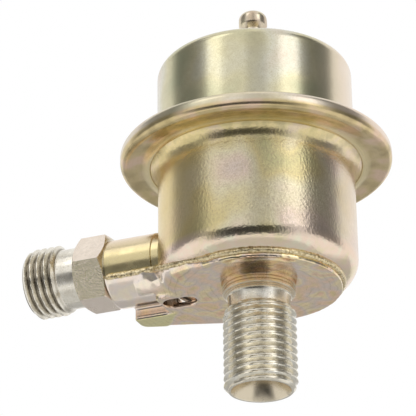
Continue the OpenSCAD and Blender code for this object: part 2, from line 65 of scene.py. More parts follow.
# Heights and radii of the crimped housing
PLATE_T = 1.2
PLATE_R = 16.0
CUP_R = 19.2
CUP_H = 26.4
CUP_T = 1.0
CUP_CORNER_R = 4.6
CUP_COVE_R = 4.0
CAP_R = 19.3
CAP_H = 19.2
CAP_T = 1.0
CAP_CORNER_R = 2.4
CAP_COVE_R = 1.5
RIM_R = 26.6
RIM_ROUND_R = 1.4
CRIMP_GAP = 0.2
DIA_T = 0.7
DIA_DROP = 2.0
DIA_ROLL_R = 2.0
DIA_FOLD_R = 15.65
STEM_R = 3.0
SPRING_PLATE_T = 0.8
NIPPLE_R = 2.0
NIPPLE_BORE_R = 1.1
NIPPLE_H = 13.2
NIPPLE_FLANGE_R = 3.6
NIPPLE_FLANGE_T = 0.8
BULB_R = 2.85
BULB_LAND_H = 1.4
BULB_TIP_R = 1.5
BULB_CONE_H = 1.0
BULB_EASE = 0.12
BULB_EASE_H = 0.1
BULB_EDGE = 0.15
JOINT_GAP = 0.05

# Rolled lip under the rim: radius, and height above the rim's underside
LIP = (
    (24.7, 0.06), (24.1, 0.2), (23.4, 0.34), (22.8, 0.37), (22.3, 0.3), (21.8, 0.14),
    (21.4, 0.0), (21.1, -0.05), (20.86, -0.01), (20.74, 0.1), (20.9, 0.24), (21.3, 0.48),
)

CUP_Z0 = PLATE_T
FLANGE_Z1 = CUP_Z0 + CUP_H
FLANGE_Z0 = FLANGE_Z1 - CUP_T
DIA_Z1 = FLANGE_Z1 + DIA_T
RIM_Z0 = FLANGE_Z0 - CAP_T
RIM_Z1 = DIA_Z1 + CAP_T
CAP_Z1 = DIA_Z1 + CAP_H
CAP_IN_Z = CAP_Z1 - CAP_T
CLAMPED_R = RIM_R - CAP_T - CRIMP_GAP
DIA_CLAMP_Z = (FLANGE_Z1 + DIA_Z1) / 2
DIA_MID_Z0 = FLANGE_Z1 - DIA_DROP
SPRING_Z0 = DIA_MID_Z0 + DIA_T + SPRING_PLATE_T

# Union and stud
THREAD_R = 7.0
THREAD_PITCH = 1.5
THREAD_DEPTH = 0.9
THREAD_BEVEL = 0.9
BORE_R = 3.0
CONE_R = 5.7
CONE_DEPTH = (CONE_R - BORE_R) / tan(radians(30))
UNION_Z = 9.15
SHANK_R = 6.1
HEX_X0 = 30.0
HEX_X1 = 36.4
HEX_AF = 13.2
HEX_BEVEL = 0.6
NECK_R = 6.0
UNION_THREAD_X0 = 40.1
UNION_X1 = 47.4
SPIGOT_R = 5.2
SPIGOT_X = 16.4
GROOVE_X = 19.7
GROOVE_W = 0.4
GROOVE_DEPTH = 0.25
GROOVE_SLOPE = 0.1
HEX_ROW = 0.1
SHANK_OVERLAP = 0.1
COLLAR_R = 7.0
DISH_DEPTH = 0.7
RELIEF_R = 6.0
STUD_RELIEF_Z0 = -4.0
STUD_Z0 = -20.4
STUD_SPIGOT_R = 6.0
PEENED_R = 6.9
PEENED_H = 0.9
STUD_Z1 = CUP_Z0 + CUP_T + PEENED_H
SEAT_TUBE_R = 4.5
SEAT_TUBE_Z0 = 0.2

# Turned rings between the stud's relief and the plate: radius and height
COLLAR_RINGS = (
    (6.0, -2.0), (6.12, -1.7), (6.35, -1.55), (6.35, -1.35), (6.6, -1.25), (6.6, -1.05), (6.9, -0.95), (7.0, -0.85),
    (7.0, -0.55), (6.8, -0.45), (6.8, -0.3), (7.0, -0.2), (7.0, 0.1), (6.8, 0.2), (6.8, 0.35), (7.0, 0.45),
)

# Cradle and braze
CRADLE_T = 1.5
CRADLE_ANGLE = 32.0
CRADLE_LEN = 29.7
BEAD_R = 0.9
BASE_BEAD_R = 0.68
BEAD_FAR_ANGLE = 108.4
BEAD_SIDES = 14
BEAD_TIP, BEAD_TAPER = 3, 9
BASE_BEAD_OUT, BASE_BEAD_UP = 0.1, 0.08
BASE_BEAD_END = (-21.0, -6.7)
UNION_BEAD_SHIFT = 0.2

# A bead's surface: its mean share of the radius, then lumps by height and number to the millimetre
LUMP_MEAN = 0.84
LUMPS = ((0.12, 1.1), (0.04, 3.0))

# Near edge of the web, where it rises round the cup's bottom edge
RISE_ANGLE_0 = -108.0
RISE_ANGLE_1 = -162.0
RISE_Z0 = 1.3
RISE_Z1 = 5.0
RISE_POWER = 2.6
RISE_END = 0.95
RISE_FOOT_R = 15.4
WEB_SINK = 0.2
WEB_BELLY = 0.18
WEB_HEEL = (RISE_FOOT_R - 0.8, 1.0)
CUTTER_REACH = 6.0
CUTTER_START, CUTTER_SHARE = 0.05, 0.9
CUTTER_LOW = -1.0

# How far the web's top and the bead on it stand out from the cup and up: at the start, and what is added as they grow
GROWTH = 4
WEB_OUT, WEB_UP = (0.45, 0.65), (-0.1, 0.4)
RISE_BEAD_OUT, RISE_BEAD_UP = (0.55, 0.2), (0.1, 0.35)

# What is cut from the flat web's near corner: x, its inner y and its upper z
CORNER_CUTS = ((-21.0, -3.2, 2.1), (-14.6, -4.9, 2.8))
CORNER_OUTER_Y = -9

# The web's run-out along the cradle: x, and a section of (y, z)
RUN_OUT = (
    (-20.6, ((-3.9, 1.2), (-6.1, 2.9), (-6.9, 5.4), (-5.6, 5.4), (-4.6, 4.0), (-3.2, 2.2))),
    (-25.0, ((-2.4, 2.36), (-4.4, 3.45), (-6.0, 5.2), (-5.4, 5.2), (-4.0, 3.9), (-2.2, 2.9))),
)

# Pressure spring
SPRING_OD = 21.6
SPRING_WIRE = 2.4
SPRING_TURNS = 6
CLOSED_PITCH = 1.04
GROUND_DEPTH = 0.7

# Grey screens: name, first and last degree right of the camera, lowest and highest degree, grey level
SCREENS = (
    ("left_screen", -114, -59, -8, 62, 0.38),
    ("right_screen", 53, 104, -8, 62, 0.30),
    ("camera_screen", -10, 13, -2, 62, 0.94),
    ("low_screen", -62, 36, -36, 3, 0.06),
    ("back_screen", 120, 240, -50, -6, 0.72),
)
SOFT_SHARE = 0.3
SCREEN_EDGE = 0.95
SCREEN_REACH_M = 0.8

# Lamps: name, place and size in metres, power in watts
LAMPS = (
    ("key", (-0.5, -0.7, 0.9), 0.6, 1.1),
    ("fill", (0.9, -0.4, 0.5), 0.5, 0.7),
)
LAMP_AIM = (0, 0, 0.02)

# Grey level that the background lights the matt pieces with
AMBIENT = 0.85

# Fineness of the meshes
ROUND_STEPS = 192
THREAD_STEPS = 144
SMALL_STEPS = 96
WEB_STEPS = 24
ROWS_PER_PITCH = 16
ARC_STEP = 9.0
SHARP_ANGLE = 32.0
PLATE_VOXEL = 0.24
PLATE_SMOOTHINGS = 5
WEB_SMOOTHINGS = 30
BLEND_X = (-22.5, -13.5)
BLEND_Y = -3.6


def arc(r, z, radius, start, end):
    """Points of an arc in the half plane of radius and height, angles in degrees from the radius axis."""
    count = max(2, ceil(abs(end - start) / ARC_STEP))
    angles = [radians(start + (end - start) * i / count) for i in range(count + 1)]
    return [(r + radius * cos(a), z + radius * sin(a)) for a in angles]


def dense(points, step):
    """The same outline with no stretch longer than step."""
    result = [points[0]]
    for (r0, z0), (r1, z1) in zip(points, points[1:]):
        count = max(1, ceil(hypot(r1 - r0, z1 - z0) / step))
        result += [(r0 + (r1 - r0) * i / count, z0 + (z1 - z0) * i / count) for i in range(1, count + 1)]
    return result


def mesh_object(name, points, faces, body, replaced):
    """A smooth shaded piece from points in millimetres, riding on a body in place of CAD nodes."""
    mesh = bpy.data.meshes.new(name)
    mesh.from_pydata([Vector(p) * MM for p in points], [], faces)
    return finish_piece(name, mesh, body, replaced)


def finish_piece(name, mesh, body, replaced):
    """Turns a mesh's faces outwards, shades it and puts it on its body."""
    bm = bmesh.new()
    bm.from_mesh(mesh)
    bmesh.ops.recalc_face_normals(bm, faces=bm.faces)
    bm.to_mesh(mesh)
    bm.free()
    mesh.shade_smooth()
    mesh.set_sharp_from_angle(angle=radians(SHARP_ANGLE))
    piece = bpy.data.objects.new(name, mesh)
    bpy.context.scene.collection.objects.link(piece)
    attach(piece, body)
    if replaced:
        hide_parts(*replaced)
    return piece


def turned(name, outline, body, replaced, steps=ROUND_STEPS, radius_at=None, place=Matrix.Identity(4)):
    """A solid turned from a closed outline of (radius, height); radius_at(r, z, angle) may cut into it."""
    points = []
    for r, z in outline:
        for i in range(steps):
            angle = 2 * pi * i / steps
            radius = radius_at(r, z, angle) if radius_at else r
            points.append(place @ Vector((radius * cos(angle), radius * sin(angle), z)))
    rows = len(outline)
    faces = []
    for j in range(rows):
        below, above = j * steps, (j + 1) % rows * steps
        for i in range(steps):
            k = (i + 1) % steps
            faces.append((below + i, below + k, above + k, above + i))
    return mesh_object(name, points, faces, body, replaced)


def thread_radius(z, angle):
    """Radius of a right-hand thread with straight flanks and flat crests and roots."""
    crest, root = 1 / 16, 1 / 8
    phase = (z / THREAD_PITCH - angle / (2 * pi)) % 1
    from_crest = abs(phase - 0.5)
    share = min(1, max(0, (from_crest - crest) / (0.5 - crest - root)))
    return THREAD_R - THREAD_DEPTH * share


def hexagon_radius(angle):
    """Distance from the axis to the side of the hexagon, with a flat at angle zero."""
    sector = (angle + pi / 6) % (pi / 3) - pi / 6
    return HEX_AF / 2 / cos(sector)


def make_cap():
    """Spring cap with the rim rolled under the cup's flange."""
    r, z = RIM_R - RIM_ROUND_R, RIM_Z1
    inner_corner = CAP_CORNER_R - CAP_T
    inner_r = CAP_R - CAP_T
    inner_cove = CAP_COVE_R + CAP_T
    outline = [(NIPPLE_R + JOINT_GAP, CAP_IN_Z), (NIPPLE_R + JOINT_GAP, CAP_Z1)]
    outline += arc(CAP_R - CAP_CORNER_R, CAP_Z1 - CAP_CORNER_R, CAP_CORNER_R, 90, 0)
    outline += arc(CAP_R + CAP_COVE_R, z + CAP_COVE_R, CAP_COVE_R, 180, 270)
    outline += arc(r, z - RIM_ROUND_R, RIM_ROUND_R, 90, 0)
    outline += arc(r, RIM_Z0 + RIM_ROUND_R, RIM_ROUND_R, 0, -90)
    outline += [(lip_r, RIM_Z0 + rise) for lip_r, rise in LIP]
    outline += [(RIM_R - CAP_T, RIM_Z0 + CAP_T), (RIM_R - CAP_T, DIA_Z1)]
    outline += arc(inner_r + inner_cove, DIA_Z1 + inner_cove, inner_cove, 270, 180)
    outline += arc(inner_r - inner_corner, CAP_IN_Z - inner_corner, inner_corner, 0, 90)
    return turned("spring_cap", outline, "housing", ["upper_housing"])


def make_cup():
    """Fuel cup with the cove under its flange and its rounded bottom edge."""
    inner_r = CUP_R - CUP_T
    inner_corner = CUP_CORNER_R - CUP_T
    inner_cove = CUP_COVE_R + CUP_T
    hole_r = STUD_SPIGOT_R + JOINT_GAP
    outline = [(hole_r, CUP_Z0 + CUP_T), (hole_r, CUP_Z0)]
    outline += arc(CUP_R - CUP_CORNER_R, CUP_Z0 + CUP_CORNER_R, CUP_CORNER_R, -90, 0)
    outline += arc(CUP_R + CUP_COVE_R, FLANGE_Z0 - CUP_COVE_R, CUP_COVE_R, 180, 90)
    outline += [(CLAMPED_R, FLANGE_Z0), (CLAMPED_R, FLANGE_Z1)]
    outline += arc(inner_r + inner_cove, FLANGE_Z1 - inner_cove, inner_cove, 90, 180)
    outline += arc(inner_r - inner_corner, CUP_Z0 + CUP_T + inner_corner, inner_corner, 0, -90)
    return turned("fuel_cup", outline, "housing", ["lower_housing"])


def make_nipple():
    """Hose nipple with a rounded bulb."""
    tip = CAP_Z1 + NIPPLE_H
    land_z1 = tip - BULB_TIP_R
    land_z0 = land_z1 - BULB_LAND_H
    low = CAP_IN_Z - NIPPLE_FLANGE_T
    outline = [(NIPPLE_BORE_R, low), (NIPPLE_FLANGE_R, low), (NIPPLE_FLANGE_R, CAP_IN_Z)]
    outline += [(NIPPLE_R, CAP_IN_Z), (NIPPLE_R, land_z0 - BULB_CONE_H), (BULB_R - BULB_EASE, land_z0 - BULB_EASE_H)]
    outline += [(BULB_R, land_z0 + BULB_EDGE), (BULB_R, land_z1)]
    outline += arc(BULB_R - BULB_TIP_R, land_z1, BULB_TIP_R, 0, 90)
    outline += [(NIPPLE_BORE_R, tip - BULB_EDGE)]
    return turned("hose_nipple", outline, "housing", ["vacuum_nipple"], SMALL_STEPS)


def make_stud():
    """Outlet stud with its thread, relief, collar and pipe cone."""
    row = THREAD_PITCH / ROWS_PER_PITCH
    thread = [(THREAD_R - THREAD_BEVEL, STUD_Z0), (THREAD_R, STUD_Z0 + THREAD_BEVEL)]
    thread += [(THREAD_R, STUD_RELIEF_Z0 - THREAD_BEVEL), (RELIEF_R, STUD_RELIEF_Z0)]
    outline = dense(thread, row)
    outline += COLLAR_RINGS
    outline += [(COLLAR_R, DISH_DEPTH), (STUD_SPIGOT_R, DISH_DEPTH)]
    outline += [(STUD_SPIGOT_R, STUD_Z1 - PEENED_H), (PEENED_R, STUD_Z1 - PEENED_H), (STUD_SPIGOT_R, STUD_Z1)]
    outline += [(SEAT_TUBE_R, STUD_Z1), (SEAT_TUBE_R, SEAT_TUBE_Z0), (BORE_R, SEAT_TUBE_Z0)]
    outline += [(BORE_R, STUD_Z0 + CONE_DEPTH), (CONE_R, STUD_Z0)]

    def cut(r, z, angle):
        on_thread = STUD_Z0 <= z <= STUD_RELIEF_Z0 and r > CONE_R
        return min(r, thread_radius(z, angle)) if on_thread else r

    return turned("threaded_stud", outline, "housing", ["outlet_stud"], THREAD_STEPS, cut)


def make_union():
    """Inlet union with its shank, hexagon, neck, thread and pipe cone."""
    row = THREAD_PITCH / ROWS_PER_PITCH
    corner_r = HEX_AF / 2 / cos(pi / 6)
    bevel = HEX_BEVEL / tan(radians(30))
    shank_x0 = CUP_R * cos(asin(SPIGOT_R / CUP_R)) - SHANK_OVERLAP
    groove_r = SHANK_R - GROOVE_DEPTH
    outline = [(BORE_R, SPIGOT_X), (SPIGOT_R, SPIGOT_X), (SPIGOT_R, shank_x0), (SHANK_R, shank_x0)]
    outline += [(SHANK_R, GROOVE_X), (groove_r, GROOVE_X + GROOVE_SLOPE)]
    outline += [(groove_r, GROOVE_X + GROOVE_W - GROOVE_SLOPE), (SHANK_R, GROOVE_X + GROOVE_W)]
    outline += [(SHANK_R, HEX_X0)]
    outline += dense([(corner_r - bevel, HEX_X0), (corner_r, HEX_X0 + HEX_BEVEL)], HEX_ROW)
    outline += dense([(corner_r, HEX_X1 - HEX_BEVEL), (corner_r - bevel, HEX_X1)], HEX_ROW)
    outline += [(NECK_R, HEX_X1), (NECK_R, UNION_THREAD_X0)]
    thread = [(NECK_R, UNION_THREAD_X0), (THREAD_R, UNION_THREAD_X0 + THREAD_BEVEL)]
    thread += [(THREAD_R, UNION_X1 - THREAD_BEVEL), (THREAD_R - THREAD_BEVEL, UNION_X1)]
    outline += dense(thread, row)[1:]
    outline += [(CONE_R, UNION_X1), (BORE_R, UNION_X1 - CONE_DEPTH)]

    def cut(r, x, angle):
        if HEX_X0 <= x <= HEX_X1 and r > SHANK_R:
            return min(r, hexagon_radius(angle))
        if x > UNION_THREAD_X0 and r > CONE_R:
            return min(r, thread_radius(x, angle))
        return r

    place = Matrix.Translation((0, 0, UNION_Z)) @ Matrix.Rotation(-pi / 2, 4, "Y")
    return turned("threaded_union", outline, "housing", ["inlet_union"], THREAD_STEPS, cut, place)


def cup_radius(z):
    """Radius of the cup's outside at a height on its rounded bottom edge."""
    return CUP_R - CUP_CORNER_R + sqrt(CUP_CORNER_R ** 2 - (CUP_Z0 + CUP_CORNER_R - z) ** 2)


def rise_at(share):
    """Direction and height of the web's near edge, which climbs the cup's corner to the cradle."""
    angle = radians(RISE_ANGLE_0 + (RISE_ANGLE_1 - RISE_ANGLE_0) * share)
    return Vector((cos(angle), sin(angle), 0)), RISE_Z0 + (RISE_Z1 - RISE_Z0) * share ** RISE_POWER


def grown(amount, share):
    """An amount that starts small and reaches its full size early on the rise."""
    start, added = amount
    return start + added * min(1, GROWTH * share)


def web_section(share, reach):
    """One section of the risen web, or with a reach of what it takes away from the flat one."""
    outward, z = rise_at(share)
    r = cup_radius(z)
    top, foot = (r + grown(WEB_OUT, share), z + grown(WEB_UP, share)), (RISE_FOOT_R, 0.0)
    bulge = WEB_BELLY * z
    belly = ((top[0] + foot[0]) / 2 + bulge, (top[1] + foot[1]) / 2 - bulge)
    if reach:
        outer = top[0] + reach
        outline = [(foot[0], CUTTER_LOW), foot, belly, top, (outer, top[1]), (outer, CUTTER_LOW)]
    else:
        middle = (z + CUP_Z0) / 2
        outline = [foot, belly, top, (r - WEB_SINK, top[1])]
        outline += [(cup_radius(middle) - WEB_SINK, middle), WEB_HEEL]
    return [outward * a + Vector((0, 0, b)) for a, b in outline]


def tube_faces(rows, sides):
    """Faces of a tube through rows of as many points as it has sides, with both ends shut."""
    faces = []
    for j in range(rows - 1):
        below, above = j * sides, (j + 1) * sides
        for i in range(sides):
            k = (i + 1) % sides
            faces.append((below + i, below + k, above + k, above + i))
    return faces + [tuple(range(sides)), tuple(range((rows - 1) * sides, rows * sides))]


def lofted(name, sections):
    """A helper solid through closed sections, with both ends shut."""
    count, sides = len(sections), len(sections[0])
    points = [p * MM for section in sections for p in section]
    mesh = bpy.data.meshes.new(name)
    mesh.from_pydata(points, [], tube_faces(count, sides))
    bm = bmesh.new()
    bm.from_mesh(mesh)
    bmesh.ops.recalc_face_normals(bm, faces=bm.faces)
    bm.to_mesh(mesh)
    bm.free()
    helper = bpy.data.objects.new(name, mesh)
    bpy.context.scene.collection.objects.link(helper)
    return helper


def smooth(bm, verts, times):
    """Relaxes vertices, which rounds the edges between them."""
    for _ in range(times):
        bmesh.ops.smooth_vert(bm, verts=verts, factor=0.5, use_axis_x=True, use_axis_y=True, use_axis_z=True)


def make_plate():
    """Saddle plate: a copy of the CAD solid, its near web risen round the cup, its edges flowing as on a pressing."""
    rough = bpy.data.objects.new("saddle_rough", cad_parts["saddle_plate"].data.copy())
    bpy.context.scene.collection.objects.link(rough)
    shares = [i / WEB_STEPS for i in range(WEB_STEPS + 1)]
    cutter = lofted("web_cutter", [web_section(CUTTER_START + CUTTER_SHARE * s, CUTTER_REACH) for s in shares])
    corners = []
    for x, inner, top in CORNER_CUTS:
        sides = ((CORNER_OUTER_Y, CUTTER_LOW), (inner, CUTTER_LOW), (inner, top), (CORNER_OUTER_Y, top))
        corners.append([Vector((x, y, z)) for y, z in sides])
    corner = lofted("web_corner", corners)
    run_out = [[Vector((x, y, z)) for y, z in section] for x, section in RUN_OUT]
    web = lofted("web_rise", [web_section(RISE_END * s, 0.0) for s in shares] + run_out)
    for helper, operation in ((cutter, "DIFFERENCE"), (corner, "DIFFERENCE"), (web, "UNION")):
        step = rough.modifiers.new(helper.name, "BOOLEAN")
        step.object, step.operation, step.solver = helper, operation, "EXACT"
    remesh = rough.modifiers.new("voxels", "REMESH")
    remesh.mode = "VOXEL"
    remesh.voxel_size = PLATE_VOXEL * MM
    bpy.context.view_layer.update()
    evaluated = rough.evaluated_get(bpy.context.evaluated_depsgraph_get())
    mesh = bpy.data.meshes.new_from_object(evaluated)
    for helper in (rough, cutter, corner, web):
        bpy.data.objects.remove(helper)
    bm = bmesh.new()
    bm.from_mesh(mesh)
    smooth(bm, bm.verts, PLATE_SMOOTHINGS)
    blend = [v for v in bm.verts if BLEND_X[0] * MM < v.co.x < BLEND_X[1] * MM and v.co.y < BLEND_Y * MM]
    smooth(bm, blend, WEB_SMOOTHINGS)
    bm.to_mesh(mesh)
    bm.free()
    mesh.materials.clear()
    return finish_piece("saddle", mesh, "housing", ["saddle_plate"])


def bead(name, path, radius, body, replaced):
    """A lumpy braze bead: a tube with thin ends along a path of (point, outward, up)."""
    points = []
    for j, (point, outward, up) in enumerate(path):
        from_end = min(j, len(path) - 1 - j)
        swell = min(1, (from_end + BEAD_TIP) / BEAD_TAPER)
        for i in range(BEAD_SIDES):
            angle = 2 * pi * i / BEAD_SIDES
            way = outward * cos(angle) + up * sin(angle)
            spot = point + way * radius
            lump = LUMP_MEAN + sum(height * noise.noise(spot * rate) for height, rate in LUMPS)
            points.append(point + way * radius * swell * lump)
    return mesh_object(name, points, tube_faces(len(path), BEAD_SIDES), body, replaced)


def make_base_bead():
    """Bead round the plate, between its edge and the cup, that climbs with the near web to the cradle."""
    steps, rise_steps, end_steps = 300, 80, 12
    up = Vector((0, 0, 1))
    path = []
    for i in range(steps + 1):
        angle = radians(BEAD_FAR_ANGLE + (RISE_ANGLE_0 - BEAD_FAR_ANGLE) * i / steps)
        outward = Vector((cos(angle), sin(angle), 0))
        path.append((outward * (PLATE_R + BASE_BEAD_OUT) + up * (PLATE_T + BASE_BEAD_UP), outward, up))
    for i in range(1, rise_steps + 1):
        share = RISE_END * i / rise_steps
        outward, z = rise_at(share)
        r = cup_radius(z) + grown(RISE_BEAD_OUT, share)
        path.append((outward * r + up * (z + grown(RISE_BEAD_UP, share)), outward, up))
    start = path[-1][0]
    end = Vector((*BASE_BEAD_END, start.z))
    path += [(start.lerp(end, i / end_steps), Vector((0, -1, 0)), up) for i in range(1, end_steps + 1)]
    return bead("base_bead", path, BASE_BEAD_R, "housing", ["base_braze"])


def make_union_beads():
    """Beads along both upper edges of the cradle."""
    z = UNION_Z - (SHANK_R + CRADLE_T) * sin(radians(CRADLE_ANGLE))
    y = sqrt((SHANK_R + CRADLE_T / 2) ** 2 - (UNION_Z - z) ** 2)
    x0, x1 = CUP_R + BEAD_R, CRADLE_LEN
    steps = 90
    across, up = Vector((0, 1, 0)), Vector((0, 0, 1))
    for side, name in ((-1, "near_union_bead"), (1, "far_union_bead")):
        path = []
        for i in range(steps + 1):
            point = Vector((-x0 - (x1 - x0) * i / steps, side * (y + UNION_BEAD_SHIFT), z + UNION_BEAD_SHIFT))
            path.append((point, across, up))
        yield bead(name, path, BEAD_R, "housing", ["union_braze"] if side > 0 else [])


def make_diaphragm():
    """Rubberised diaphragm with its rolled fold."""
    half = DIA_T / 2
    leg_r = DIA_FOLD_R - DIA_ROLL_R
    outline = [(CLAMPED_R, FLANGE_Z1), (CLAMPED_R, DIA_Z1)]
    outline += arc(DIA_FOLD_R, DIA_CLAMP_Z, DIA_ROLL_R + half, 9, 180)
    outline += [(leg_r - half, DIA_MID_Z0 + DIA_T), (STEM_R + JOINT_GAP, DIA_MID_Z0 + DIA_T)]
    outline += [(STEM_R + JOINT_GAP, DIA_MID_Z0), (leg_r + half, DIA_MID_Z0)]
    outline += arc(DIA_FOLD_R, DIA_CLAMP_Z, DIA_ROLL_R - half, 180, 0)
    outline += [(DIA_FOLD_R + DIA_ROLL_R - half, FLANGE_Z1)]
    piece = turned("diaphragm_cloth", outline, "housing", ["diaphragm"], SMALL_STEPS)
    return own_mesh(piece)


def make_pressure_spring():
    """Pressure spring with closed, ground ends."""
    sides, steps = 14, 36 * SPRING_TURNS
    mean_r = (SPRING_OD - SPRING_WIRE) / 2
    ground = SPRING_WIRE * GROUND_DEPTH
    low = SPRING_Z0 - ground + SPRING_WIRE / 2
    high = CAP_IN_Z + ground - SPRING_WIRE / 2
    closed = SPRING_WIRE * CLOSED_PITCH
    points = []
    for i in range(steps + 1):
        turn = SPRING_TURNS * i / steps
        if turn < 1:
            z = low + closed * turn
        elif turn > SPRING_TURNS - 1:
            z = high - closed * (SPRING_TURNS - turn)
        else:
            z = low + closed + (high - low - 2 * closed) * (turn - 1) / (SPRING_TURNS - 2)
        for s in range(sides):
            a = 2 * pi * s / sides
            r = mean_r + SPRING_WIRE / 2 * cos(a)
            up = min(CAP_IN_Z, max(SPRING_Z0, z + SPRING_WIRE / 2 * sin(a)))
            points.append((r * cos(2 * pi * turn), r * sin(2 * pi * turn), up))
    faces = tube_faces(steps + 1, sides)
    piece = mesh_object("main_spring", points, faces, "housing", ["pressure_spring"])
    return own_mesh(piece)


class Paint:
    """A node material that is built up from small procedural steps."""

    def __init__(self, name, metallic=1.0):
        self.material = bpy.data.materials.new(name)
        self.material.use_nodes = True
        self.tree = self.material.node_tree
        self.shader = self.tree.nodes["Principled BSDF"]
        self.shader.inputs["Metallic"].default_value = metallic
        self.coords = self.tree.nodes.new("ShaderNodeTexCoord").outputs["Object"]
        self.shown = None
        self.relief = None

    def node(self, kind, **settings):
        made = self.tree.nodes.new(kind)
        for key, value in settings.items():
            setattr(made, key, value)
        return made

    def link(self, output, socket):
        self.tree.links.new(output, socket)

    def noise(self, size, detail=2.0, stretch=(1, 1, 1)):
        """Noise whose patches are about size millimetres wide."""
        mapping = self.node("ShaderNodeMapping")
        mapping.inputs["Scale"].default_value = stretch
        self.link(self.coords, mapping.inputs["Vector"])
        made = self.node("ShaderNodeTexNoise")
        made.inputs["Scale"].default_value = 1 / (size * MM)
        made.inputs["Detail"].default_value = detail
        self.link(mapping.outputs["Vector"], made.inputs["Vector"])
        return made.outputs["Fac"]

    def ramp(self, value, stops):
        made = self.node("ShaderNodeValToRGB")
        ramp = made.color_ramp
        while len(ramp.elements) < len(stops):
            ramp.elements.new(0.5)
        for element, (place, color) in zip(ramp.elements, stops):
            element.position = place
            element.color = (*color, 1)
        self.link(value, made.inputs["Fac"])
        return made.outputs["Color"]

    def mix(self, factor, a, b, blend="MIX"):
        made = self.node("ShaderNodeMix", data_type="RGBA", blend_type=blend)
        for value, socket in ((factor, made.inputs["Factor"]), (a, made.inputs[6]), (b, made.inputs[7])):
            if isinstance(value, bpy.types.NodeSocket):
                self.link(value, socket)
            elif isinstance(value, tuple):
                socket.default_value = (*value, 1)
            else:
                socket.default_value = value
        return made.outputs[2]

    def span(self, value, low, high, start=0.3, end=0.7):
        """A value between start and end, spread over low to high."""
        made = self.node("ShaderNodeMapRange")
        for name, number in (("From Min", start), ("From Max", end), ("To Min", low), ("To Max", high)):
            made.inputs[name].default_value = number
        self.link(value, made.inputs["Value"])
        return made.outputs["Result"]

    def rings(self, pitch, distortion):
        """Concentric tool marks about Z."""
        made = self.node("ShaderNodeTexWave", wave_type="RINGS", rings_direction="Z", wave_profile="SAW")
        made.inputs["Scale"].default_value = 1 / (pitch * MM) / 20 * 2 * pi
        made.inputs["Distortion"].default_value = distortion
        self.link(self.coords, made.inputs["Vector"])
        return made.outputs["Fac"]

    def along(self, way, start, end):
        """How far a point lies between start and end, in millimetres along a direction."""
        made = self.node("ShaderNodeVectorMath", operation="DOT_PRODUCT")
        made.inputs[1].default_value = way
        self.link(self.coords, made.inputs[0])
        return self.span(made.outputs["Value"], 0.0, 1.0, start * MM, end * MM)

    def outward(self, axis, centre, start, end):
        """How far a point lies between start and end, in millimetres away from an axis."""
        mapping = self.node("ShaderNodeMapping")
        mapping.inputs["Location"].default_value = [-MM * c for c in centre]
        mapping.inputs["Scale"].default_value = [1 - a for a in axis]
        self.link(self.coords, mapping.inputs["Vector"])
        made = self.node("ShaderNodeVectorMath", operation="LENGTH")
        self.link(mapping.outputs["Vector"], made.inputs[0])
        return self.span(made.outputs["Value"], 0.0, 1.0, start * MM, end * MM)

    def times(self, a, b):
        made = self.node("ShaderNodeMath", operation="MULTIPLY")
        for value, socket in ((a, made.inputs[0]), (b, made.inputs[1])):
            if isinstance(value, bpy.types.NodeSocket):
                self.link(value, socket)
            else:
                socket.default_value = value
        return made.outputs["Value"]

    def color(self, socket):
        self.shown = socket
        self.link(socket, self.shader.inputs["Base Color"])

    def tint(self, mask, color):
        """Lays another colour over what is shown, where the mask is one."""
        self.color(self.mix(mask, self.shown, color))

    def roughness(self, socket):
        self.link(socket, self.shader.inputs["Roughness"])

    def bump(self, height, depth):
        """Raises the surface by height times depth millimetres, on top of any earlier bump."""
        made = self.node("ShaderNodeBump")
        made.inputs["Distance"].default_value = depth * MM
        self.link(height, made.inputs["Height"])
        if self.relief:
            self.link(self.relief, made.inputs["Normal"])
        self.relief = made.outputs["Normal"]
        self.link(self.relief, self.shader.inputs["Normal"])


# Film colours of yellow passivated zinc, and the dirt on it
GOLD = (0.86, 0.73, 0.38)
PALE = (0.91, 0.83, 0.58)
OLIVE = (0.64, 0.62, 0.34)
PINK = (0.90, 0.73, 0.61)
LILAC = (0.76, 0.65, 0.60)
SILVER = (0.90, 0.88, 0.82)
BRONZE = (0.60, 0.45, 0.32)
SOOT = (0.42, 0.36, 0.22)

# Painted shade: a dark colour laid in the bore and in the hollow under the web
PAINTED_RECESS_SHADE = (0.20, 0.17, 0.14)

# Films in the folds of the crimp and on the cup's bottom edge, and the braze; the films under the rim are darkened as
# painted shade
UNDER_RIM_FILMS_AND_SHADE = [(0.35, (0.44, 0.34, 0.15)), (0.5, (0.62, 0.49, 0.24)), (0.66, (0.76, 0.55, 0.39))]
COVE_FILMS = [(0.36, (0.56, 0.47, 0.24)), (0.5, (0.80, 0.66, 0.34)), (0.64, (0.78, 0.62, 0.44))]
FOOT_FILMS = [(0.36, (0.78, 0.68, 0.46)), (0.5, (0.84, 0.67, 0.54)), (0.64, (0.80, 0.76, 0.58))]
BRAZE_FILMS = [
    (0.3, (0.40, 0.29, 0.15)), (0.45, (0.74, 0.60, 0.34)), (0.6, (0.90, 0.78, 0.52)), (0.74, (0.66, 0.48, 0.30)),
]

# Directions: the housing's left in the photograph, where the film is gold (right of it, pink), and the axes
LEFT = (-cos(radians(20)), -sin(radians(20)), 0)
UP, DOWN = (0, 0, 1), (0, 0, -1)
AXIS, ORIGIN = (0, 0, 1), (0, 0, 0)
UNION_AXIS, UNION_WAY, UNION_CENTRE = (1, 0, 0), (-1, 0, 0), (0, 0, UNION_Z)


def tone(color, level):
    """The same hue, deeper."""
    return tuple(level * part for part in color)


